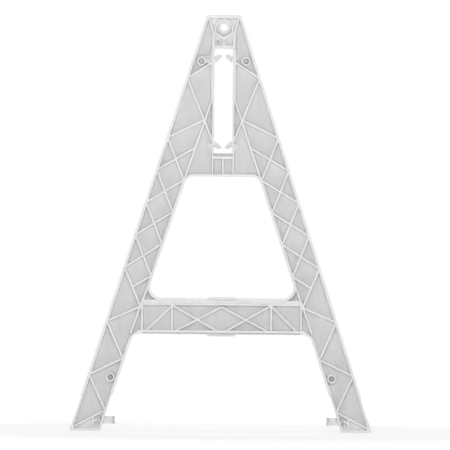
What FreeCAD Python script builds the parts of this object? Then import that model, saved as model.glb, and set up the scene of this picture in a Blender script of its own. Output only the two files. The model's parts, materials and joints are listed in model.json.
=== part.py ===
import FreeCAD, Part
import math
import os
import Sketcher
from FreeCAD import Vector

# One end frame of an A-frame barricade: two straight legs, a narrow head, a low crossbar and a
# tall slot that a barricade rail slides through. Two identical ribbed mouldings stand back to
# back about the plane Y = 0 and four through bolts clamp them together.
# X is the width, Y the depth (the front face is at -Y) and Z is up. The origin is on the ground,
# midway between the feet. All sizes are in millimetres.

os.makedirs("parts", exist_ok=True)
doc = FreeCAD.newDocument("a_frame_barricade")

DIMENSIONS = {
    # overall outline of the A
    "frame_height": 1092,
    "foot_half_span": 396.5,
    "head_half_width": 44,
    "leg_width_at_foot": 80,
    "leg_width_at_head": 89.5,
    "half_depth": 25,
    # crossbar, window and slot
    "crossbar_bottom": 254.5,
    "crossbar_top": 349,
    "lower_bump": 5.5,
    "upper_bump": 3,
    "bump_half_width": 33,
    "window_top": 669,
    "slot_bottom": 730,
    "slot_top": 1006,
    "slot_half_width": 24.5,
    # wall thicknesses and the step from the walls down to the ribs
    "web_thickness": 2,
    "wall_thickness": 6.5,
    "slot_wall_thickness": 5,
    "rib_thickness": 6,
    "rib_setback": 2,
    # bevels: on front edges, at the roots of walls and ribs, and along the parting plane
    "edge_bevel": 0.8,
    "root_bevel": 1,
    "parting_bevel": 0.4,
    # lips of bare web at the foot of the slot and under the crossbar
    "slot_lip": 7.5,
    "crossbar_lip": 4.5,
    "crossbar_lip_end": 207,
    # corner radii of the outline
    "arch_radius": 26,
    "window_foot_radius": 30,
    "window_head_radius": 26,
    "inner_toe_radius": 5,
    "outer_corner_radius": 3,
    "head_corner_radius": 6,
    "slot_corner_radius": 2,
    # heights where the leg ribs meet the walls, and how far from the leg's edges they meet
    "outer_node_inset": 2.25,
    "inner_node_inset": 4.25,
    "outer_node": 7,
    "lower_outer_pitch": 140.5,
    "upper_outer_pitch": 85.5,
    "top_outer_node": 927,
    "inner_node": 53,
    "lower_inner_pitch": 136.5,
    "upper_inner_node": 407,
    "upper_inner_pitch": 84,
    "top_inner_node": 817,
    # heights where the inner edge line meets the slot wall and where the head posts end
    "chord_meets_slot": 866,
    "head_post_top": 1047,
    # crossbar posts and upper chord
    "outer_post_x": 209,
    "inner_post_x": 130,
    "upper_chord_drop": 16.5,
    # short posts in the feet
    "foot_post_x": 336,
    # how far the thick floors stand out: in the head, between the boss ties and in the feet
    "head_floor_depth": 9,
    "tie_floor_depth": 13,
    "foot_floor_depth": 9,
    # light bolt hole and the shield-shaped ring in the head
    "light_hole_height": 1060.5,
    "light_hole_radius": 9.75,
    "light_pad_thickness": 6,
    "head_ring_height": 1057,
    "head_ring_radius": 22.3,
    "head_ring_point": 1032,
    # locating pips and the tube below the ring
    "pip_x": 15.5,
    "pip_height": 1022.5,
    "pip_radius": 3.9,
    "pip_reach": 6,
    "tube_height": 1021.5,
    # bosses for the four clamping bolts
    "boss_radius": 12.3,
    "recess_radius": 7.2,
    "recess_floor": 9,
    "bolt_hole_radius": 3.3,
    "upper_boss_x": 58.5,
    "upper_boss_z": 971.5,
    "lower_boss_x": 290.5,
    "lower_boss_z": 140,
    # fasteners
    "bolt_radius": 3,
    "bolt_length": 30,
    "bolt_head_radius": 5,
    "bolt_head_height": 6,
    "socket_across_flats": 5,
    "nut_across_flats": 10,
    "nut_height": 5,
    "washer_radius": 6,
    "washer_thickness": 1.6,
    # rail latches
    "pivot_x": 34,
    "upper_pivot_z": 981.5,
    "lower_pivot_z": 748.5,
    "barrel_radius": 4,
    "barrel_clearance": 0.1,
    "latch_half_depth": 12,
    "latch_neck_height": 5,
    "latch_flat": 6.5,
    "latch_flat_end": 16,
    "latch_back": 11.5,
    "latch_back_drop": 14.5,
    "latch_reach": 29,
    "latch_tip_height": 1.5,
    # foot pegs
    "peg_height": 27.5,
    "peg_radius": 10.7,
    "peg_tip_x": 277,
    "peg_fin_thickness": 5,
    "peg_disc_thickness": 5,
    "peg_flange_radius": 13.5,
    "peg_flange_offset": 9,
    "peg_flange_thickness": 4,
    "peg_tail_radius": 7,
    "peg_tail_offset": 30,
}

sheet = doc.addObject("Spreadsheet::Sheet", "sizes")
for row, (alias, value) in enumerate(DIMENSIONS.items(), start=1):
    sheet.set(f"A{row}", alias.replace("_", " "))
    sheet.set(f"B{row}", str(value))
    sheet.setAlias(f"B{row}", alias)
doc.recompute()


def size(alias):
    return float(getattr(sheet, alias))


height = size("frame_height")
half_depth = size("half_depth")
web = size("web_thickness")
wall = size("wall_thickness")
slot_wall = size("slot_wall_thickness")
rib_width = size("rib_thickness")
rib_front = -(half_depth - size("rib_setback"))
edge_bevel = size("edge_bevel")
root_bevel = size("root_bevel")
slot_x = size("slot_half_width")
slot_low = size("slot_bottom")
slot_high = size("slot_top")
bar_low = size("crossbar_bottom")
bar_high = size("crossbar_top")
window_high = size("window_top")
hole_z = size("light_hole_height")
pivot_x = size("pivot_x")
peg_z = size("peg_height")


def outer_x(z):
    """Half-width of the A's outer edge at height z."""
    lean = (size("foot_half_span") - size("head_half_width")) / height
    return size("foot_half_span") - lean * z


def inner_x(z):
    """Half-width of the leg's inner edge at height z."""
    taper = (size("leg_width_at_head") - size("leg_width_at_foot")) / height
    return outer_x(z) - size("leg_width_at_foot") - taper * z


# ---------------------------------------------------------------- solids from XZ outlines

def rounded_wire(corners):
    """A closed wire in the XZ plane through (x, z, corner radius) points."""
    arcs = {}
    starts = []
    ends = []
    points = [Vector(x, 0, z) for x, z, radius in corners]
    for index, here in enumerate(points):
        radius = corners[index][2]
        to_before = (points[index - 1] - here).normalize()
        to_after = (points[(index + 1) % len(points)] - here).normalize()
        if radius == 0:
            starts.append(here)
            ends.append(here)
            continue
        half_angle = to_before.getAngle(to_after) / 2
        reach = radius / math.tan(half_angle)
        bisector = (to_before + to_after).normalize()
        centre = here + bisector * (radius / math.sin(half_angle))
        start = here + to_before * reach
        end = here + to_after * reach
        middle = centre - bisector * radius
        arcs[index] = Part.Arc(start, middle, end).toShape()
        starts.append(start)
        ends.append(end)
    outline = []
    for index in range(len(corners)):
        if index in arcs:
            outline.append(arcs[index])
        following = starts[(index + 1) % len(corners)]
        if ends[index].distanceToPoint(following) > 1e-6:
            outline.append(Part.LineSegment(ends[index], following).toShape())
    return Part.Wire(outline)


def prism(wire, y_from, y_to):
    """Extrude a closed XZ wire between two depths."""
    face = Part.Face(wire)
    face.translate(Vector(0, y_from, 0))
    return face.extrude(Vector(0, y_to - y_from, 0))


def cylinder_y(x, z, radius, y_from, y_to):
    return Part.makeCylinder(radius, y_to - y_from, Vector(x, y_from, z), Vector(0, 1, 0))


def cylinder_x(z, radius, x_from, x_to):
    return Part.makeCylinder(radius, x_to - x_from, Vector(x_from, 0, z), Vector(1, 0, 0))


def block(x_from, x_to, y_from, y_to, z_from, z_to):
    corner = Vector(x_from, y_from, z_from)
    return Part.makeBox(x_to - x_from, y_to - y_from, z_to - z_from, corner)


def edges_at_depth(solid, depth):
    """The edges that lie whole in the plane Y = depth."""
    return [edge for edge in solid.Edges
            if all(abs(end.Y - depth) < 1e-6 for end in edge.Vertexes)]


def bevelled(solid, depth, width):
    """The solid with every edge in the plane Y = depth bevelled."""
    return solid.makeChamfer(width, edges_at_depth(solid, depth))


def rib(start, end, width=None):
    """A straight rib on the web, centred on the line between two (x, z) points.

    Its section is bevelled along the front edges and flares where it meets the web.
    """
    half = (width or rib_width) / 2
    run = end[0] - start[0]
    rise = end[1] - start[1]
    right = [(-web, half + root_bevel), (-web - root_bevel, half),
             (rib_front + edge_bevel, half), (rib_front, half - edge_bevel)]
    section = right + [(y, -z) for y, z in reversed(right)]
    outline = Part.makePolygon([Vector(0, y, z) for y, z in section + section[:1]])
    bar = Part.Face(outline).extrude(Vector(math.hypot(run, rise), 0, 0))
    bar.rotate(Vector(0, 0, 0), Vector(0, 1, 0), -math.degrees(math.atan2(rise, run)))
    bar.translate(Vector(start[0], 0, start[1]))
    return bar


def mirrored(corners):
    """Complete a right-hand outline, listed from bottom to top, with its left-hand image."""
    return corners + [(-x, z, radius) for x, z, radius in reversed(corners)]


# ---------------------------------------------------------------- the frame half

def bump(z, step):
    """Right-hand points of the raised pad at the middle of a crossbar edge."""
    pad = size("bump_half_width")
    return [(pad, z + step, 0), (pad + 7, z, 0)]


def outline_wires(inset):
    """Outer outline, window and slot of the A, each moved into the material by inset."""
    slant = inset / math.cos(math.atan2(outer_x(0) - outer_x(height), height))

    def leg_outer(z):
        return outer_x(z) - slant

    def leg_inner(z):
        return inner_x(z) + slant

    arch_z = bar_low + inset
    sill_z = bar_high - inset
    lintel_z = window_high + inset
    corner = size("outer_corner_radius")
    low_bump = bump(arch_z, -size("lower_bump"))
    high_bump = bump(sill_z, size("upper_bump"))
    arch = low_bump + [(leg_inner(arch_z), arch_z, size("arch_radius") + inset)]
    foot = [(leg_inner(inset), inset, size("inner_toe_radius")), (leg_outer(inset), inset, corner)]
    head = [(leg_outer(height - inset), height - inset, size("head_corner_radius"))]
    outer = rounded_wire(mirrored(arch + foot + head))
    window_foot = (leg_inner(sill_z), sill_z, size("window_foot_radius") + inset)
    window_head = (leg_inner(lintel_z), lintel_z, size("window_head_radius") + inset)
    window = rounded_wire(mirrored(high_bump + [window_foot, window_head]))
    grow = inset * slot_wall / wall
    radius = size("slot_corner_radius") + grow
    slot = rounded_wire(mirrored([(slot_x + grow, slot_low - grow, radius),
                                  (slot_x + grow, slot_high + grow, radius)]))
    return outer, window, slot


def a_plate(inset, y_from, y_to):
    """The whole A with its window and slot open, as a plate between two depths."""
    outer, window, slot = outline_wires(inset)
    plate = prism(outer, y_from, y_to)
    openings = [prism(wire, y_from - 1, y_to + 1) for wire in (window, slot)]
    return plate.cut(openings)


def leg_lattice(side):
    """Zigzag ribs up one leg, crossing each other above the crossbar."""
    outer_nodes = [size("outer_node") + size("lower_outer_pitch") * step for step in range(4)]
    outer_nodes += [outer_nodes[-1] + size("upper_outer_pitch") * step for step in range(1, 5)]
    outer_nodes.append(size("top_outer_node"))
    inner_nodes = [size("inner_node") + size("lower_inner_pitch") * step for step in range(3)]
    upper_node = size("upper_inner_node")
    inner_nodes += [upper_node + size("upper_inner_pitch") * step for step in range(5)]
    inner_nodes.append(size("top_inner_node"))

    def outside(index):
        z = outer_nodes[index]
        return (side * (outer_x(z) - size("outer_node_inset")), z)

    def inside(index):
        z = inner_nodes[index]
        return (side * (inner_x(z) + size("inner_node_inset")), z)

    ribs = []
    for index in range(3):
        ribs.append(rib(outside(index), inside(index)))
        ribs.append(rib(outside(index + 1), inside(index)))
    for index in range(3, 8):
        ribs.append(rib(outside(index), inside(index + 1)))
    for index in range(3, 7):
        ribs.append(rib(outside(index + 1), inside(index)))
    # the lowest falling rib stops where it meets the rib that rises from the crossbar
    joint = tuple((a + b) / 2 for a, b in zip(outside(3), inside(2)))
    ribs.append(rib(inside(3), joint))
    # from the top outer node one rib falls to the foot of the slot and one rises to its side
    top_node = outside(8)
    ribs.append(rib(top_node, (side * slot_x, slot_low + 24)))
    ribs.append(rib(top_node, (side * slot_x, slot_high - 34)))
    return ribs


def chord_ribs(side):
    """The leg's inner edge line, carried through the crossbar and up to the slot wall."""
    def chord(z):
        return inner_x(z) + wall / 2

    # the slot wall stands thicker where the chord has run into it
    thicker = 3.5
    double_x = slot_x + slot_wall + thicker / 2
    wall_x = slot_x + slot_wall / 2
    meet_z = size("chord_meets_slot")
    # a thicker post carries the wall on above the slot and leans out to the top corner
    post_width = 7
    post_x = slot_x + post_width / 2 - 0.5
    post_top = size("head_post_top")
    foot_z = bar_high + 34
    window_z = window_high - 30
    return [
        rib((side * (chord(bar_low) + 3.5), bar_low), (side * chord(foot_z), foot_z)),
        rib((side * chord(window_z), window_z), (side * double_x, meet_z)),
        rib((side * double_x, meet_z), (side * double_x, slot_high), thicker),
        rib((side * post_x, slot_high), (side * post_x, post_top), post_width),
        rib((side * post_x, post_top - 2), (side * (post_x + 14.2), height - 2), slot_wall),
        rib((side * wall_x, window_high), (side * wall_x, slot_low), slot_wall),
    ]


def crossbar_levels():
    """Heights of the crossbar's lower and upper chords."""
    return bar_low + size("crossbar_lip") + 3, bar_high - size("upper_chord_drop")


def crossbar_ribs(side):
    """Upper chord, posts and crossing diagonals of one half of the crossbar."""
    low, high = crossbar_levels()
    outer_post = size("outer_post_x")
    inner_post = size("inner_post_x")
    return [
        rib((0, high), (side * outer_post, high), 5),
        rib((side * outer_post, low), (side * outer_post, high)),
        rib((side * inner_post, low), (side * inner_post, high)),
        rib((side * (inner_post - 3), high), (side * (outer_post - 11), low)),
        rib((side * (inner_post + 3), high), (side * 10, low)),
        rib((side * (inner_post - 7), low), (0, high - 6)),
    ]


def crossbar_walls():
    """The bottom wall, above the web's lip, and the channel's floor under the top wall."""
    low, high = crossbar_levels()
    wall_end = size("outer_post_x") + 13
    channel_end = size("outer_post_x") + 3
    bottom = block(-wall_end, wall_end, -half_depth, -web, low - 3, low + 3)
    channel_floor = block(-channel_end, channel_end, rib_front + 3, -web, high, bar_high - 4)
    return [bevelled(bottom, -half_depth, edge_bevel), channel_floor]


def head_ribs():
    """Shield-shaped ring round the light hole, and the ribs over and under the slot."""
    crown_z = size("head_ring_height")
    half_rib = rib_width / 2

    def shield(grow):
        radius = size("head_ring_radius") + grow
        point_z = size("head_ring_point") - grow * 1.17
        side_z = point_z + 0.6 * radius
        corners = [(radius, side_z), (0, point_z), (-radius, side_z), (-radius, crown_z)]
        points = [Vector(radius, 0, crown_z)] + [Vector(x, 0, z) for x, z in corners]
        lines = [Part.LineSegment(a, b).toShape() for a, b in zip(points, points[1:])]
        crown = Part.Arc(points[-1], Vector(0, 0, crown_z + radius), points[0]).toShape()
        return Part.Wire(lines + [crown])

    outer = prism(shield(half_rib), rib_front, -web)
    inner = prism(shield(-half_rib), rib_front - 1, 0)
    ring = bevelled(outer.cut(inner), rib_front, edge_bevel)
    # a thick floor fills the head between its posts, outside the ring
    floor_x = slot_x + 3
    corners = [(floor_x, slot_high + 3, 0), (floor_x, size("head_post_top"), 0),
               (floor_x + 13, height - 5, 0)]
    floor = prism(rounded_wire(mirrored(corners)), -size("head_floor_depth"), -web)
    tube_z = size("tube_height")
    floor_z = slot_low - size("slot_lip")
    floor_wall = block(-slot_x - 4, slot_x + 4, -half_depth, -web, floor_z - 8, floor_z)
    return [
        ring,
        floor.cut(inner),
        rib((0, crown_z + 20), (0, height - 4)),
        rib((-38, height - 6.5), (38, height - 6.5), 4),
        rib((-slot_x, slot_high + 6.25), (slot_x, slot_high + 6.25), 3.5),
        rib((0, slot_high + 4), (0, tube_z), 8),
        rib((0, tube_z), (0, size("head_ring_point") + 1), 6),
        bevelled(cylinder_y(0, tube_z, 5.5, rib_front, -web), rib_front, edge_bevel),
        bevelled(floor_wall, -half_depth, edge_bevel),
        rib((0, window_high), (0, floor_z - 4)),
    ]


def foot_ribs(side):
    """Short ribs that box in the inner end of the foot, on a thick floor under the lowest rib."""
    post_x = size("foot_post_x")
    toe_x = outer_x(0) - wall
    toe_z = size("outer_node")
    heel_z = size("inner_node")
    corners = [(inner_x(3) + 3, 3), (toe_x, 3), (toe_x, toe_z), (inner_x(heel_z) + 3, heel_z)]
    outline = Part.makePolygon([Vector(side * x, 0, z) for x, z in corners + corners[:1]])
    return [
        rib((side * post_x, 4), (side * post_x, 34)),
        rib((side * (post_x - 14), 29), (side * post_x, 23)),
        prism(outline, -size("foot_floor_depth"), -web),
    ]


def bosses():
    """Centres of the four clamping bosses, as name and (x, z)."""
    places = {}
    for level in ("upper", "lower"):
        for name, side in (("left", -1), ("right", 1)):
            x = side * size(level + "_boss_x")
            places[level + "_" + name] = (x, size(level + "_boss_z"))
    return places


def latch_places():
    """Side and level of the four latches: (side, level), level +1 above and -1 below."""
    places = {}
    for level, direction in (("upper", 1), ("lower", -1)):
        for name, side in (("left", -1), ("right", 1)):
            places[level + "_" + name] = (side, direction)
    return places


def pivot_z(direction):
    return size("upper_pivot_z") if direction > 0 else size("lower_pivot_z")


def latch_socket(side, direction):
    """Block that closes over a latch barrel, and the space cut out of it."""
    z = pivot_z(direction)
    back = -(size("latch_half_depth") + 0.3)
    bore = size("barrel_radius") + size("barrel_clearance")
    neck = size("latch_neck_height") / 2 + 0.3
    swing = 10
    low, high = (z - neck, z + swing) if direction > 0 else (z - swing, z + neck)
    cheeks = block(slot_x, pivot_x, back - 2.7, 0, low - 3, high + 3)
    shell = cheeks.fuse(cylinder_y(pivot_x, z, bore + 3, back - 2.7, 0))
    pocket = cylinder_y(pivot_x, z, bore, back, 1)
    mouth = block(slot_x - 1, pivot_x, back, 1, low, high)
    cavity = pocket.fuse(mouth)
    if side < 0:
        mirror = (Vector(0, 0, 0), Vector(1, 0, 0))
        shell = shell.mirror(*mirror)
        cavity = cavity.mirror(*mirror)
    return shell, cavity


def peg_seat(side):
    """Space for a foot peg: the hole in the wall, the flange behind it and the tail."""
    wall_x = inner_x(peg_z)
    flange_x = wall_x + size("peg_flange_offset")
    flange_end = flange_x + size("peg_flange_thickness")
    passage = cylinder_x(peg_z, size("peg_radius") + 0.1, wall_x - 8, flange_x)
    flange = cylinder_x(peg_z, size("peg_flange_radius") + 0.1, flange_x - 0.1, flange_end + 0.1)
    tail = cylinder_x(peg_z, size("peg_tail_radius") + 0.1, flange_x, wall_x + 31)
    seat = passage.multiFuse([flange, tail])
    return seat if side > 0 else seat.mirror(Vector(0, 0, 0), Vector(1, 0, 0))


def peg_cradle(side):
    """Upright walls that hold a foot peg's tail behind the leg's inner wall."""
    wall_x = inner_x(peg_z)
    stations = (wall_x + 15.5, wall_x + 23)
    walls = [block(x, x + 3.5, rib_front + 8, 0, peg_z - 12, peg_z + 11) for x in stations]
    if side < 0:
        walls = [piece.mirror(Vector(0, 0, 0), Vector(1, 0, 0)) for piece in walls]
    return walls


def frame_half_shape():
    """One moulding: web on the parting plane, walls round every edge, ribs and bosses."""
    hollow = a_plate(wall, -half_depth - 1, -web)
    shell = a_plate(0, -half_depth, 0).cut(hollow)
    shell = bevelled(shell, -half_depth, edge_bevel)
    shell = bevelled(shell, -web, root_bevel)
    shell = bevelled(shell, 0, size("parting_bevel"))
    additions = head_ribs() + crossbar_walls()
    cavities = []
    for side in (-1, 1):
        additions += leg_lattice(side) + chord_ribs(side) + crossbar_ribs(side)
        additions += foot_ribs(side) + peg_cradle(side)
        cavities.append(peg_seat(side))
    for side, direction in latch_places().values():
        socket, cavity = latch_socket(side, direction)
        additions.append(socket)
        cavities.append(cavity)
    for x, z in bosses().values():
        boss = cylinder_y(x, z, size("boss_radius"), rib_front, -web)
        additions.append(bevelled(boss, rib_front, edge_bevel))
        recess_radius = size("recess_radius")
        recess = cylinder_y(x, z, recess_radius, -half_depth - 1, -size("recess_floor"))
        mouth = Part.makeCone(recess_radius + edge_bevel, recess_radius, edge_bevel,
                              Vector(x, rib_front, z), Vector(0, 1, 0))
        through = cylinder_y(x, z, size("bolt_hole_radius"), -half_depth, 1)
        cavities.append(recess.multiFuse([mouth, through]))
    # three ribs tie the upper left boss to the slot wall, over a raised floor
    tie_levels = [size("upper_boss_z") + rise for rise in (-4.5, 5.5, 13)]
    for z in tie_levels:
        additions.append(rib((-size("upper_boss_x"), z), (-slot_x - 3, z), 3))
    additions.append(block(-size("upper_boss_x"), -slot_x - 3, -size("tie_floor_depth"), -web,
                           tie_levels[0], tie_levels[-1]))
    # the web stands out past the walls at the foot of the slot and along the crossbar
    front = -half_depth - 1
    slot_floor = slot_low - size("slot_lip")
    bar_floor = bar_low + size("crossbar_lip")
    cavities.append(block(-slot_x, slot_x, front, -web, slot_floor, slot_low + 1))
    lip_end = size("crossbar_lip_end")
    cavities.append(block(-lip_end, lip_end, front, -web, bar_low - 8, bar_floor))
    # thick pad round the light hole
    pad_radius = size("head_ring_radius") - 4
    pad_front = -size("light_pad_thickness")
    pad = cylinder_y(0, hole_z, pad_radius, pad_front, -web)
    additions.append(bevelled(pad, pad_front, edge_bevel))
    cavities.append(cylinder_y(0, hole_z, size("light_hole_radius"), -half_depth, 1))
    # a tubular locating pip on the left of the head fits a ring on the right of the other half
    pip_x = size("pip_x")
    pip_z = size("pip_height")
    pip = size("pip_radius")
    reach = size("pip_reach")
    additions.append(cylinder_y(-pip_x, pip_z, pip + 0.6, rib_front + 3, -web))
    additions.append(cylinder_y(pip_x, pip_z, pip + 2.4, rib_front + 10, -web))
    cavities.append(cylinder_y(pip_x, pip_z, pip + 0.2, -reach - 3, 1))
    cavities.append(cylinder_y(0, size("tube_height"), 1.6, -half_depth, 1))
    envelope = a_plate(0, -half_depth, 0)
    ribs = additions[0].multiFuse(additions[1:]).common(envelope)
    half = shell.fuse(ribs)
    half = half.cut(cavities)
    half = half.fuse(cylinder_y(-pip_x, pip_z, pip, -web, reach))
    half = half.cut(cylinder_y(-pip_x, pip_z, 2, -half_depth, reach + 1))
    return half.removeSplitter()


moulding = frame_half_shape()
if len(moulding.Solids) != 1:
    raise RuntimeError("the frame half is not one solid")
front = doc.addObject("Part::Feature", "front_frame_half")
front.Shape = moulding.Solids[0]
rear = doc.addObject("Part::Feature", "rear_frame_half")
rear.Shape = moulding.Solids[0]
rear.Placement = FreeCAD.Placement(Vector(0, 0, 0), FreeCAD.Rotation(Vector(0, 0, 1), 180))
sub_parts = [front, rear]


# ---------------------------------------------------------------- document objects bound to the sheet

def bind(thing, **expressions):
    """Bind properties of a document object to expressions in the sheet's aliases."""
    for name, expression in expressions.items():
        for alias in sorted(DIMENSIONS, key=len, reverse=True):
            expression = expression.replace("#" + alias, "<<sizes>>." + alias)
        thing.setExpression(name.replace("__", "."), expression)


def primitive(kind, name, **expressions):
    thing = doc.addObject("Part::" + kind, name)
    bind(thing, **expressions)
    return thing


def fused(name, pieces):
    thing = doc.addObject("Part::MultiFuse", name)
    thing.Shapes = pieces
    return thing


def cut(name, base, tool):
    thing = doc.addObject("Part::Cut", name)
    thing.Base = base
    thing.Tool = tool
    return thing


def washer(name, place):
    disc = primitive("Cylinder", name + "_disc", Radius="#washer_radius",
                     Height="#washer_thickness")
    hole = primitive("Cylinder", name + "_hole", Radius="#bolt_radius + 0.1",
                     Height="#washer_thickness")
    ring = cut(name, disc, hole)
    ring.Placement = place
    return ring


def bolt(name, place):
    """Socket head screw, its head standing on Z = 0 and its shank pointing down."""
    head = primitive("Cylinder", name + "_head", Radius="#bolt_head_radius",
                     Height="#bolt_head_height")
    shank = primitive("Cylinder", name + "_shank", Radius="#bolt_radius",
                      Height="#bolt_length", Placement__Base__z="-#bolt_length")
    socket = primitive("Prism", name + "_socket", Circumradius="#socket_across_flats / sqrt(3)",
                       Height="#bolt_head_height",
                       Placement__Base__z="#bolt_head_height / 2")
    solid = cut(name, fused(name + "_blank", [head, shank]), socket)
    solid.Placement = place
    return solid


def nut(name, place):
    hexagon = primitive("Prism", name + "_hexagon", Circumradius="#nut_across_flats / sqrt(3)",
                        Height="#nut_height")
    hole = primitive("Cylinder", name + "_bore", Radius="#bolt_radius + 0.02",
                     Height="#nut_height")
    solid = cut(name, hexagon, hole)
    solid.Placement = place
    return solid


def boss_fasteners(name, x, z):
    """A bolt from the front, a nut at the back, and a washer under each."""
    to_front = FreeCAD.Rotation(Vector(1, 0, 0), 90)
    to_rear = FreeCAD.Rotation(Vector(1, 0, 0), -90)
    seat = size("recess_floor")
    thick = size("washer_thickness")

    def facing_front(depth):
        return FreeCAD.Placement(Vector(x, -depth, z), to_front)

    def facing_rear(depth):
        return FreeCAD.Placement(Vector(x, depth, z), to_rear)

    return [
        bolt(name + "_bolt", facing_front(seat + thick)),
        washer(name + "_front_washer", facing_front(seat)),
        washer(name + "_rear_washer", facing_rear(seat)),
        nut(name + "_nut", facing_rear(seat + thick)),
    ]


def side_sketch(body, name):
    """An empty sketch on the body's own XZ plane: sketch x is X and sketch y is Z."""
    sketch = body.newObject("Sketcher::SketchObject", name)
    plane = next(item for item in body.Origin.OriginFeatures if item.Role == "XZ_Plane")
    sketch.AttachmentSupport = [(plane, "")]
    sketch.MapMode = "FlatFace"
    return sketch


def dimensioned_polygon(sketch, corners):
    """A closed polygon whose corners are (x, value, z, value) expressions from the origin."""
    points = [Vector(size_of(x), size_of(z), 0) for x, z in corners]
    count = len(points)
    for index in range(count):
        line = Part.LineSegment(points[index], points[(index + 1) % count])
        sketch.addGeometry(line, False)
    for index in range(count):
        following = (index + 1) % count
        sketch.addConstraint(Sketcher.Constraint("Coincident", index, 2, following, 1))
    for index, (x, z) in enumerate(corners):
        for kind, expression, value in (("DistanceX", x, points[index].x),
                                        ("DistanceY", z, points[index].y)):
            row = sketch.addConstraint(Sketcher.Constraint(kind, -1, 1, index, 1, value))
            sketch.renameConstraint(row, f"{kind}{index}")
            bind(sketch, **{f"Constraints.{kind}{index}": expression})


def size_of(expression):
    """The number that an expression in the sheet's aliases works out to."""
    probe = doc.addObject("App::FeaturePython", "probe")
    probe.addProperty("App::PropertyFloat", "Result")
    bind(probe, Result=expression)
    probe.recompute()
    result = probe.Result
    doc.removeObject(probe.Name)
    return result


def latch(name, side, direction):
    """One rail latch: a wedge finger with a flat side, a neck and a round pivot barrel."""
    body = doc.addObject("PartDesign::Body", name)
    finger = side_sketch(body, name + "_finger_outline")
    dimensioned_polygon(finger, [
        ("-1", "-#latch_neck_height / 2"),
        ("-#latch_back", "-#latch_neck_height / 2"),
        ("-#latch_back", "-#latch_back_drop"),
        ("-#latch_reach", "#latch_tip_height"),
        ("-#latch_reach + 1", "#latch_flat"),
        ("-#latch_flat_end", "#latch_flat"),
        ("-#latch_flat_end", "#latch_neck_height / 2"),
        ("-1", "#latch_neck_height / 2"),
    ])
    finger_pad = body.newObject("PartDesign::Pad", name + "_finger")
    finger_pad.Profile = finger
    finger_pad.SideType = "Symmetric"
    bind(finger_pad, Length="2 * #latch_half_depth")
    circle = side_sketch(body, name + "_barrel_outline")
    circle.addGeometry(Part.Circle(Vector(0, 0, 0), Vector(0, 0, 1), size("barrel_radius")), False)
    circle.addConstraint(Sketcher.Constraint("Coincident", 0, 3, -1, 1))
    row = circle.addConstraint(Sketcher.Constraint("Radius", 0, size("barrel_radius")))
    circle.renameConstraint(row, "BarrelRadius")
    bind(circle, **{"Constraints.BarrelRadius": "#barrel_radius"})
    barrel_pad = body.newObject("PartDesign::Pad", name + "_barrel")
    barrel_pad.Profile = circle
    barrel_pad.SideType = "Symmetric"
    bind(barrel_pad, Length="2 * #latch_half_depth")
    turns = {
        (1, 1): FreeCAD.Rotation(),
        (1, -1): FreeCAD.Rotation(Vector(1, 0, 0), 180),
        (-1, 1): FreeCAD.Rotation(Vector(0, 0, 1), 180),
        (-1, -1): FreeCAD.Rotation(Vector(0, 1, 0), 180),
    }
    place = Vector(side * pivot_x, 0, pivot_z(direction))
    body.Placement = FreeCAD.Placement(place, turns[side, direction])
    return body


def foot_peg(name, side):
    """Cross-shaped peg with a round end disc, a flange behind the leg's wall and a tail."""
    lean = "(#foot_half_span - #head_half_width) / #frame_height"
    taper = "(#leg_width_at_head - #leg_width_at_foot) / #frame_height"
    wall_x = f"#foot_half_span - #leg_width_at_foot - ({lean} + {taper}) * #peg_height"
    flange_at = f"({wall_x} + #peg_flange_offset - #peg_tip_x)"
    along_x = FreeCAD.Rotation(Vector(0, 1, 0), 90)
    disc = primitive("Cylinder", name + "_disc", Radius="#peg_radius",
                     Height="#peg_disc_thickness")
    flange = primitive("Cylinder", name + "_flange", Radius="#peg_flange_radius",
                       Height="#peg_flange_thickness")
    tail = primitive("Cylinder", name + "_tail", Radius="#peg_tail_radius",
                     Height="#peg_tail_offset - #peg_flange_offset")
    for piece in (disc, flange, tail):
        piece.Placement = FreeCAD.Placement(Vector(0, 0, 0), along_x)
    for piece in (flange, tail):
        bind(piece, Placement__Base__x=flange_at)
    flat_fin = primitive("Box", name + "_flat_fin", Length=flange_at, Width="2 * #peg_radius - 0.6",
                         Height="#peg_fin_thickness", Placement__Base__y="0.3 - #peg_radius",
                         Placement__Base__z="-#peg_fin_thickness / 2")
    upright_fin = primitive("Box", name + "_upright_fin", Length=flange_at,
                            Width="#peg_fin_thickness", Height="2 * #peg_radius - 0.6",
                            Placement__Base__y="-#peg_fin_thickness / 2",
                            Placement__Base__z="0.3 - #peg_radius")
    solid = fused(name, [disc, flat_fin, upright_fin, flange, tail])
    turn = FreeCAD.Rotation(Vector(0, 0, 1), 0 if side > 0 else 180)
    solid.Placement = FreeCAD.Placement(Vector(side * size("peg_tip_x"), 0, peg_z), turn)
    return solid


for name, (x, z) in bosses().items():
    sub_parts += boss_fasteners(name, x, z)
for name, (side, direction) in latch_places().items():
    sub_parts.append(latch(name + "_latch", side, direction))
for name, side in (("left", -1), ("right", 1)):
    sub_parts.append(foot_peg(name + "_foot_peg", side))

# ---------------------------------------------------------------- checks and files

doc.recompute()
for thing in doc.Objects:
    if "Invalid" in thing.State or "Error" in thing.State:
        raise RuntimeError(f"{thing.Name} did not build: {thing.State}")
for piece in sub_parts:
    if piece.Shape.isNull() or not piece.Shape.isValid():
        raise RuntimeError(f"{piece.Label} has no valid shape")
    solids = len(piece.Shape.Solids)
    print(f"{piece.Label}: {solids} solid, {piece.Shape.Volume / 1000:.2f} cm3")
for piece in sub_parts:
    piece.Shape.exportStep(f"parts/{piece.Label}.step")
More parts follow.
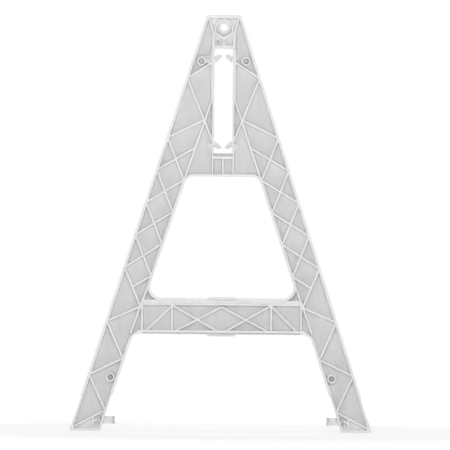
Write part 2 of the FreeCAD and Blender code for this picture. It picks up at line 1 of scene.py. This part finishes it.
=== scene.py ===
import bpy
import json
import math
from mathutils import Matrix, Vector


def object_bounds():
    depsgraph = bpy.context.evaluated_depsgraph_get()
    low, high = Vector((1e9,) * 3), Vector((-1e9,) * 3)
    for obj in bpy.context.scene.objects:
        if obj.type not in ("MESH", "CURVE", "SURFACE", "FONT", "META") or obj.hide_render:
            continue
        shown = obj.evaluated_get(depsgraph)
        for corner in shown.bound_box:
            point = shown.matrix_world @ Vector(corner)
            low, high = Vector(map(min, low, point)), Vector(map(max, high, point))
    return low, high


# One white plastic end frame of an A-frame barricade, seen square on in a white studio.
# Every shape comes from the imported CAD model. This script smooths its shading with modifiers,
# gives each part its material, and sets the floor, the light and the camera. Metres throughout.

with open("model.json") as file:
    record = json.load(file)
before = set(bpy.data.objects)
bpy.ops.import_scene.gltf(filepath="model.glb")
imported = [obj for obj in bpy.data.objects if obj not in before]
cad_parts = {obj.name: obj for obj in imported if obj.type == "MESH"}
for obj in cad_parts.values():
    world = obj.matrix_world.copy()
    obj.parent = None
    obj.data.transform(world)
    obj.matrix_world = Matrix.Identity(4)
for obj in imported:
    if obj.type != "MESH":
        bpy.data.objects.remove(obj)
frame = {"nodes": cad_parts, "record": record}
nodes = frame["nodes"]
cad_low, cad_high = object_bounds()
scene = bpy.context.scene

MM = 0.001

# grey levels of each plastic: its own, and the darker one of the swirls in it
FRAME_GREYS = (0.86, 0.79)
LATCH_GREYS = (0.77, 0.7)
SPECK_SHADE = 0.72          # grey of a dust speck, as a share of the swirl's
SPECK_STRENGTH = 0.35
SCUFF_SHADE = 1.08          # grey of a scratch, as a share of the plastic's own
SCUFF_ROUGHNESS = 0.75
PLASTIC_SPECULAR = 0.35
SCATTER_DEPTH = 7 * MM      # how far light wanders inside white polyethylene

CREASE_ANGLE = math.radians(50)
WELD_DISTANCE = 0.01 * MM
FLAT_ANGLE = math.radians(1)
BEVEL_ANGLE = math.radians(35)
LATCH_ROUNDING = 0.4 * MM
SMALL_PART_ROUNDING = 0.2 * MM

FLOOR_REACH = 5.0
FLOOR_GREY = 0.9
FLOOR_SHARE = 0.3           # share of the floor's own light that falls on the object
WORLD_GLOW = 0.25           # strength of the world's light on the object

# (name, place, width, height, watts)
SOFTBOXES = [
    ("front_softbox", (0, -6, 0.9), 2.2, 2.2, 190),
    ("rear_softbox", (0, 5, 2.0), 3, 2, 80),
    ("top_softbox", (0, 0, 3.2), 3, 2, 20),
]
LIT_POINT = (0, 0, 0.55)

CAMERA_DISTANCE = 25.0      # in front of the front face
CAMERA_X = 0.007
CAMERA_Z = 0.5418
VIEW_HEIGHT = 1.1807        # what the picture's frame takes in at that distance
SENSOR_MM = 36
LEVEL = math.radians(90)
ROLL = math.radians(-0.5)


# ---------------------------------------------------------------- material helpers

def grey(level):
    return (level, level, level)


def new_material(name):
    material = bpy.data.materials.new(name)
    material.use_nodes = True
    return material


def add_node(material, kind, inputs=None, **settings):
    """A shader node with its properties and unlinked inputs set."""
    node = material.node_tree.nodes.new(kind)
    for key, value in settings.items():
        setattr(node, key, value)
    for key, value in (inputs or {}).items():
        node.inputs[key].default_value = value
    return node


def link(material, source, target):
    material.node_tree.links.new(source, target)


def object_coordinates(material, stretch=(1, 1, 1)):
    """Object-space coordinates, with each axis scaled."""
    where = add_node(material, "ShaderNodeTexCoord").outputs["Object"]
    mapping = add_node(material, "ShaderNodeMapping", {"Scale": stretch})
    link(material, where, mapping.inputs["Vector"])
    return mapping.outputs["Vector"]


def ramp(material, value, start, end, first=0.0, last=1.0):
    """Grey that goes from a first level to a last one as a value goes from start to end."""
    node = add_node(material, "ShaderNodeValToRGB")
    stops = ((start, first), (end, last))
    for element, (position, level) in zip(node.color_ramp.elements, stops):
        element.position = position
        element.color = (*grey(level), 1)
    link(material, value, node.inputs["Fac"])
    return node.outputs["Color"]


def noise(material, coordinates, scale, detail=3, roughness=0.55, distortion=0.0):
    node = add_node(material, "ShaderNodeTexNoise", {
        "Scale": scale, "Detail": detail, "Roughness": roughness, "Distortion": distortion})
    link(material, coordinates, node.inputs["Vector"])
    return node.outputs["Fac"]


def mix(material, factor, first, second, blend="MIX"):
    """Mixed colour; the factor is a number or a socket, each colour a tuple or a socket."""
    factor_input, first_input, second_input, colour_output = 0, 6, 7, 2
    node = add_node(material, "ShaderNodeMix", data_type="RGBA", blend_type=blend)
    for value, index in ((factor, factor_input), (first, first_input), (second, second_input)):
        if isinstance(value, (int, float)):
            node.inputs[index].default_value = value
        elif isinstance(value, tuple):
            node.inputs[index].default_value = (*value, 1)
        else:
            link(material, value, node.inputs[index])
    return node.outputs[colour_output]


def bump(material, height, strength, distance, below=None):
    """A bump layer on top of another one's normal."""
    node = add_node(material, "ShaderNodeBump", {"Strength": strength, "Distance": distance})
    link(material, height, node.inputs["Height"])
    if below:
        link(material, below, node.inputs["Normal"])
    return node.outputs["Normal"]


# ---------------------------------------------------------------- materials

def moulded_plastic(name, own, swirled):
    """White structural foam: faint swirls, fine scuffs, a few specks and an orange-peel skin."""
    material = new_material(name)
    shader = material.node_tree.nodes["Principled BSDF"]
    where = object_coordinates(material)

    # swirls left by the foaming melt, drawn out along the legs
    upright = object_coordinates(material, (1, 1, 0.35))
    swirl = noise(material, upright, scale=16, detail=6, roughness=0.62, distortion=1.8)
    tint = ramp(material, swirl, 0.36, 0.62, swirled, own)

    # specks of dust in the skin
    specks = ramp(material, noise(material, where, scale=420, detail=2), 0.72, 0.78)
    dust = mix(material, SPECK_STRENGTH, grey(0), specks)
    dusty = mix(material, dust, tint, grey(swirled * SPECK_SHADE))

    # short scratches in two directions, in patches
    across = noise(material, object_coordinates(material, (0.08, 1, 1)), scale=900, detail=2)
    along = noise(material, object_coordinates(material, (1, 1, 0.06)), scale=800, detail=2)
    scratches = mix(material, 1.0, ramp(material, across, 0.66, 0.72),
                    ramp(material, along, 0.66, 0.72), "LIGHTEN")
    patches = ramp(material, noise(material, where, scale=14), 0.5, 0.7, last=0.5)
    scuffs = mix(material, 1.0, scratches, patches, "MULTIPLY")
    worn = mix(material, scuffs, dusty, grey(min(own * SCUFF_SHADE, 1.0)))
    link(material, worn, shader.inputs["Base Color"])

    # a satin skin, duller where it is scuffed
    satin = ramp(material, noise(material, where, scale=70, detail=4), 0.3, 0.7, 0.44, 0.58)
    rubbed = mix(material, scuffs, satin, grey(SCUFF_ROUGHNESS))
    link(material, rubbed, shader.inputs["Roughness"])
    shader.inputs["Specular IOR Level"].default_value = PLASTIC_SPECULAR

    # white polyethylene lets light through a few millimetres of its depth
    shader.inputs["Subsurface Weight"].default_value = 1.0
    shader.inputs["Subsurface Radius"].default_value = grey(SCATTER_DEPTH)
    shader.inputs["Subsurface Scale"].default_value = 1.0

    # shallow sink marks, the orange-peel skin, and scratches cut into it
    waves = noise(material, where, scale=45, roughness=0.5, distortion=0.6)
    sunk = bump(material, waves, strength=0.3, distance=1.2 * MM)
    pimples = noise(material, where, scale=1100, detail=2)
    peel = bump(material, pimples, strength=0.3, distance=0.3 * MM, below=sunk)
    cut = bump(material, scuffs, strength=-0.3, distance=0.15 * MM, below=peel)
    link(material, cut, shader.inputs["Normal"])
    return material


def zinc_steel(name):
    """Zinc-plated steel with spangle, fine scratches and dull patches."""
    material = new_material(name)
    shader = material.node_tree.nodes["Principled BSDF"]
    shader.inputs["Metallic"].default_value = 1.0
    where = object_coordinates(material)

    spangle = add_node(material, "ShaderNodeTexVoronoi", {"Scale": 900.0})
    link(material, where, spangle.inputs["Vector"])
    tint = ramp(material, spangle.outputs["Distance"], 0.1, 0.8, 0.2, 0.13)
    link(material, tint, shader.inputs["Base Color"])

    gloss = ramp(material, noise(material, where, scale=1200), 0.3, 0.7, 0.32, 0.5)
    link(material, gloss, shader.inputs["Roughness"])

    lines = noise(material, object_coordinates(material, (1, 0.1, 1)), scale=2500, detail=2)
    scratched = bump(material, lines, strength=0.15, distance=0.05 * MM)
    link(material, scratched, shader.inputs["Normal"])
    return material


MATERIALS = {
    "frame_plastic": moulded_plastic("frame_plastic", *FRAME_GREYS),
    "latch_plastic": moulded_plastic("latch_plastic", *LATCH_GREYS),
    "zinc_steel": zinc_steel("zinc_steel"),
}

for entry in frame["record"]["subparts"]:
    for slot in nodes[entry["node"]].material_slots:
        slot.material = MATERIALS[entry["material_slot"]]


# ---------------------------------------------------------------- smooth shading and rounded edges

def crease_group():
    """Geometry nodes that keep the edges over the crease angle crisp in smooth shading."""
    group = bpy.data.node_groups.new("creases", "GeometryNodeTree")
    group.interface.new_socket("Geometry", in_out="INPUT", socket_type="NodeSocketGeometry")
    group.interface.new_socket("Geometry", in_out="OUTPUT", socket_type="NodeSocketGeometry")
    entry = group.nodes.new("NodeGroupInput")
    exit_node = group.nodes.new("NodeGroupOutput")
    angle = group.nodes.new("GeometryNodeInputMeshEdgeAngle")
    steep = group.nodes.new("ShaderNodeMath")
    steep.operation = "GREATER_THAN"
    steep.inputs[1].default_value = CREASE_ANGLE
    crisp = group.nodes.new("GeometryNodeSetShadeSmooth")
    crisp.domain = "EDGE"
    crisp.inputs["Shade Smooth"].default_value = False
    connect = group.links.new
    connect(angle.outputs["Unsigned Angle"], steep.inputs[0])
    connect(entry.outputs[0], crisp.inputs["Geometry"])
    connect(steep.outputs[0], crisp.inputs["Selection"])
    connect(crisp.outputs["Geometry"], exit_node.inputs[0])
    return group


CREASES = crease_group()


def smooth_shading(item, rounding=0):
    """Smooth a CAD node's shading with modifiers, and bevel its edges if given a rounding."""
    for face in item.data.polygons:
        face.use_smooth = True
    weld = item.modifiers.new("weld", "WELD")
    weld.merge_threshold = WELD_DISTANCE
    if rounding:
        flat = item.modifiers.new("merge_flat_faces", "DECIMATE")
        flat.decimate_type = "DISSOLVE"
        flat.angle_limit = FLAT_ANGLE
        bevel = item.modifiers.new("soft_edges", "BEVEL")
        bevel.width = rounding
        bevel.segments = 2
        bevel.limit_method = "ANGLE"
        bevel.angle_limit = BEVEL_ANGLE
        bevel.use_clamp_overlap = False
    creases = item.modifiers.new("creases", "NODES")
    creases.node_group = CREASES
    even = item.modifiers.new("even_normals", "WEIGHTED_NORMAL")
    even.keep_sharp = True


for name, item in nodes.items():
    if name.endswith("frame_half"):
        smooth_shading(item)    # its bevels are in the CAD model
    elif name.endswith("latch"):
        smooth_shading(item, LATCH_ROUNDING)
    else:
        smooth_shading(item, SMALL_PART_ROUNDING)


# ---------------------------------------------------------------- floor, world, light and camera

def pale_floor():
    """A plain floor of white paper whose own light grows with distance, to fade into the world."""
    reach = FLOOR_REACH
    corners = [(-reach, -reach, 0), (reach, -reach, 0), (reach, reach, 0), (-reach, reach, 0)]
    mesh = bpy.data.meshes.new("floor")
    mesh.from_pydata(corners, [], [(0, 1, 2, 3)])
    item = bpy.data.objects.new("floor", mesh)
    scene.collection.objects.link(item)

    material = new_material("floor_paper")
    shader = material.node_tree.nodes["Principled BSDF"]
    shader.inputs["Base Color"].default_value = (*grey(FLOOR_GREY), 1)
    shader.inputs["Roughness"].default_value = 1.0
    shader.inputs["Specular IOR Level"].default_value = 0.0
    shader.inputs["Emission Color"].default_value = (*grey(1), 1)
    distance = add_node(material, "ShaderNodeVectorMath", operation="LENGTH")
    link(material, object_coordinates(material), distance.inputs[0])
    glow = add_node(material, "ShaderNodeMapRange", {
        "From Min": 0.8, "From Max": 3.0, "To Min": 0.42, "To Max": 0.85})
    link(material, distance.outputs["Value"], glow.inputs["Value"])
    # the paper looks whiter than the light it throws back on the object
    share = add_node(material, "ShaderNodeMapRange", {"To Min": FLOOR_SHARE, "To Max": 1.0})
    seen = add_node(material, "ShaderNodeLightPath").outputs["Is Camera Ray"]
    link(material, seen, share.inputs["Value"])
    strength = add_node(material, "ShaderNodeMath", operation="MULTIPLY")
    link(material, glow.outputs["Result"], strength.inputs[0])
    link(material, share.outputs["Result"], strength.inputs[1])
    link(material, strength.outputs[0], shader.inputs["Emission Strength"])
    mesh.materials.append(material)


def white_studio():
    """A world that shows pure white behind the object and lights it with a weaker glow."""
    world = bpy.data.worlds.new("studio")
    world.use_nodes = True
    tree = world.node_tree
    seen = tree.nodes.new("ShaderNodeLightPath").outputs["Is Camera Ray"]
    strength = tree.nodes.new("ShaderNodeMath")
    strength.operation = "MULTIPLY_ADD"
    strength.inputs[1].default_value = 1 - WORLD_GLOW
    strength.inputs[2].default_value = WORLD_GLOW
    tree.links.new(seen, strength.inputs[0])
    background = tree.nodes["Background"]
    background.inputs["Color"].default_value = (*grey(1), 1)
    tree.links.new(strength.outputs[0], background.inputs["Strength"])
    scene.world = world


def soft_light():
    """A bright softbox in front, and weaker ones behind and overhead."""
    for name, place, width, height, watts in SOFTBOXES:
        data = bpy.data.lights.new(name, "AREA")
        data.shape = "RECTANGLE"
        data.size = width
        data.size_y = height
        data.energy = watts
        item = bpy.data.objects.new(name, data)
        item.location = place
        towards = Vector(LIT_POINT) - Vector(place)
        item.rotation_euler = towards.to_track_quat("-Z", "Y").to_euler()
        scene.collection.objects.link(item)


def photograph_camera():
    """A long lens square on to the front face, rolled by half a degree."""
    data = bpy.data.cameras.new("camera")
    data.sensor_width = SENSOR_MM
    data.lens = SENSOR_MM * CAMERA_DISTANCE / VIEW_HEIGHT
    item = bpy.data.objects.new("camera", data)
    item.location = (CAMERA_X, cad_low.y - CAMERA_DISTANCE, CAMERA_Z)
    item.rotation_euler = (LEVEL, ROLL, 0)
    scene.collection.objects.link(item)
    scene.camera = item


pale_floor()
white_studio()
soft_light()
photograph_camera()
scene.view_settings.view_transform = "Standard"
